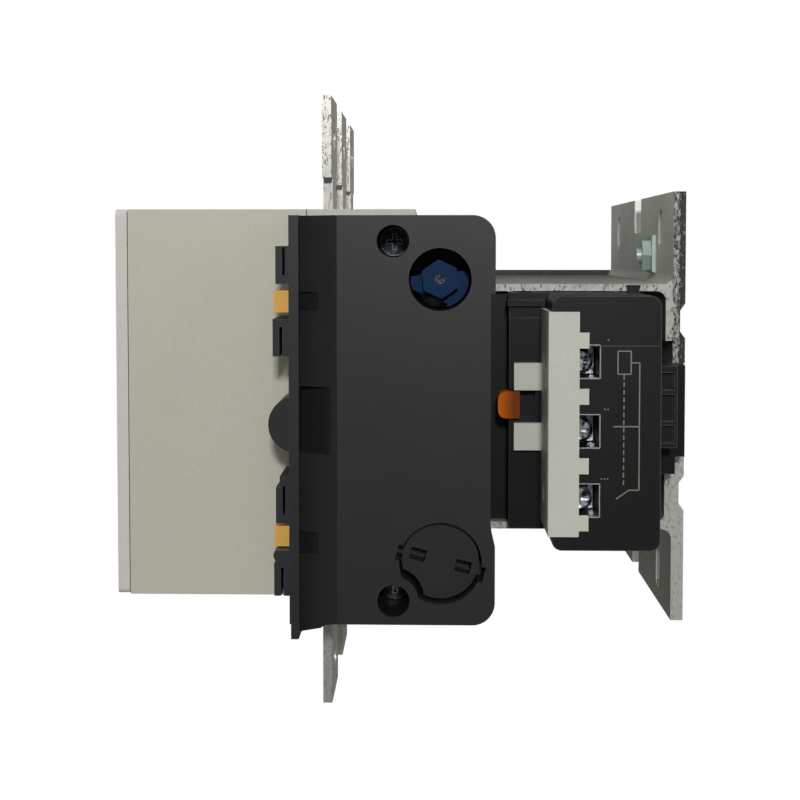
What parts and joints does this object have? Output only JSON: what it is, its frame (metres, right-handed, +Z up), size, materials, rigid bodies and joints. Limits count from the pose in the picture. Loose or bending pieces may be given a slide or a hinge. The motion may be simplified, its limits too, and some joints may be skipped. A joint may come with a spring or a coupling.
{
  "type": "panel contactor",
  "caption": "Panel mounted power contactor with a cream arc chamber, dark side flanks, flat terminal bars, a black coil unit and a slotted steel back plate.",
  "frame": {"origin": "centre of the four fixing slots, on the mounting plane", "axes": "+Y into the panel, -Y the front, +Z up, +X the side of the coil terminals"},
  "size_m": [0.1685, 0.181, 0.197],
  "materials": {
    "frame_steel": "zinc plated sheet, dull, with rough sheared edges",
    "zinc_plate": "pale zinc plating with a cool tint",
    "spring_steel": "drawn spring wire",
    "dark_plastic": "fine grained dark grey moulding",
    "black_plastic": "satin black moulding",
    "cream_plastic": "fine grained cream moulding",
    "pale_plastic": "fine grained pale grey moulding",
    "light_plastic": "light grey cream moulding",
    "screw_steel": "blackened screw, oiled",
    "silver_plate": "silver plated copper, satin",
    "magnet_steel": "laminated sheet steel",
    "copper": "enamelled or bare copper",
    "contact_brass": "brass strip",
    "brown_plastic": "dark insulating moulding",
    "blue_plastic": "satin blue moulding",
    "orange_plastic": "orange moulding",
    "yellow_plastic": "yellow moulding"
  },
  "bodies": {
    "frame": {"back_plate": "frame_steel", "upper_frame_arm": "frame_steel", "lower_frame_arm": "frame_steel", "frame_screws": "zinc_plate", "earth_stud": "zinc_plate", "earth_nut": "zinc_plate", "earth_washer": "zinc_plate", "base_housing": "black_plastic", "pole_housing": "cream_plastic", "arc_chamber": "cream_plastic", "front_lid": "pale_plastic", "right_flank": "dark_plastic", "left_flank": "dark_plastic", "right_flank_screws": "screw_steel", "left_flank_screws": "screw_steel", "upper_clips": "black_plastic", "lower_clips": "black_plastic", "interlock_boss": "dark_plastic", "line_terminal_1": "silver_plate", "line_terminal_2": "silver_plate", "line_terminal_3": "silver_plate", "load_terminal_1": "silver_plate", "load_terminal_2": "silver_plate", "load_terminal_3": "silver_plate", "fixed_contact_tips": "silver_plate", "arc_splitters_1": "magnet_steel", "arc_splitters_2": "magnet_steel", "arc_splitters_3": "magnet_steel", "magnet_core": "magnet_steel", "shading_rings": "copper", "core_cushions": "black_plastic", "coil_bobbin": "brown_plastic", "coil_winding": "copper", "coil_housing": "black_plastic", "coil_latch": "black_plastic", "terminal_cover": "light_plastic", "coil_terminal_screws": "screw_steel", "coil_terminal_clamps": "screw_steel", "economy_contact": "contact_brass"},
    "carrier": {"contact_carrier": "brown_plastic", "armature": "magnet_steel", "armature_rivets": "zinc_plate", "aux_drive_yoke": "brown_plastic", "aux_drive_lugs": "yellow_plastic", "contact_spring_1": "spring_steel", "contact_spring_2": "spring_steel", "contact_spring_3": "spring_steel", "return_springs": "spring_steel"},
    "plunger": {"economy_plunger": "orange_plastic"},
    "lock": {"locking_hex": "blue_plastic", "locking_hex_screw": "screw_steel"},
    "cap": {"service_cap": "dark_plastic"},
    "bridge_1": {"moving_bridge_1": "copper", "moving_tips_1": "silver_plate"},
    "bridge_2": {"moving_bridge_2": "copper", "moving_tips_2": "silver_plate"},
    "bridge_3": {"moving_bridge_3": "copper", "moving_tips_3": "silver_plate"}
  },
  "joints": [
    {"name": "carrier_slide", "type": "slide", "parent": "frame", "child": "carrier", "axis": [0, 1, 0], "range_m": [0, 0.008], "stiffness_N_per_m": 2500, "springref_m": -0.006, "deforming": ["return_springs"]},
    {"name": "bridge_1_slide", "type": "slide", "parent": "carrier", "child": "bridge_1", "axis": [0, -1, 0], "range_m": [0, 0.0025], "deforming": ["contact_spring_1"]},
    {"name": "bridge_2_slide", "type": "slide", "parent": "carrier", "child": "bridge_2", "axis": [0, -1, 0], "range_m": [0, 0.0025], "deforming": ["contact_spring_2"]},
    {"name": "bridge_3_slide", "type": "slide", "parent": "carrier", "child": "bridge_3", "axis": [0, -1, 0], "range_m": [0, 0.0025], "deforming": ["contact_spring_3"]},
    {"name": "plunger_slide", "type": "slide", "parent": "frame", "child": "plunger", "axis": [0, 1, 0], "range_m": [0, 0.003]},
    {"name": "lock_turn", "type": "hinge", "parent": "frame", "child": "lock", "pos_m": [0.088, -0.0774, 0.041], "axis": [1, 0, 0], "range_deg": [0, 90]},
    {"name": "cap_pull", "type": "slide", "parent": "frame", "child": "cap", "axis": [1, 0, 0], "range_m": [0, 0.012]}
  ],
  "couplings": [
    {"joint": "bridge_1_slide", "follows": "carrier_slide", "ratio": 0.3},
    {"joint": "bridge_2_slide", "follows": "carrier_slide", "ratio": 0.3},
    {"joint": "bridge_3_slide", "follows": "carrier_slide", "ratio": 0.3},
    {"joint": "plunger_slide", "follows": "carrier_slide", "ratio": 0.375}
  ]
}
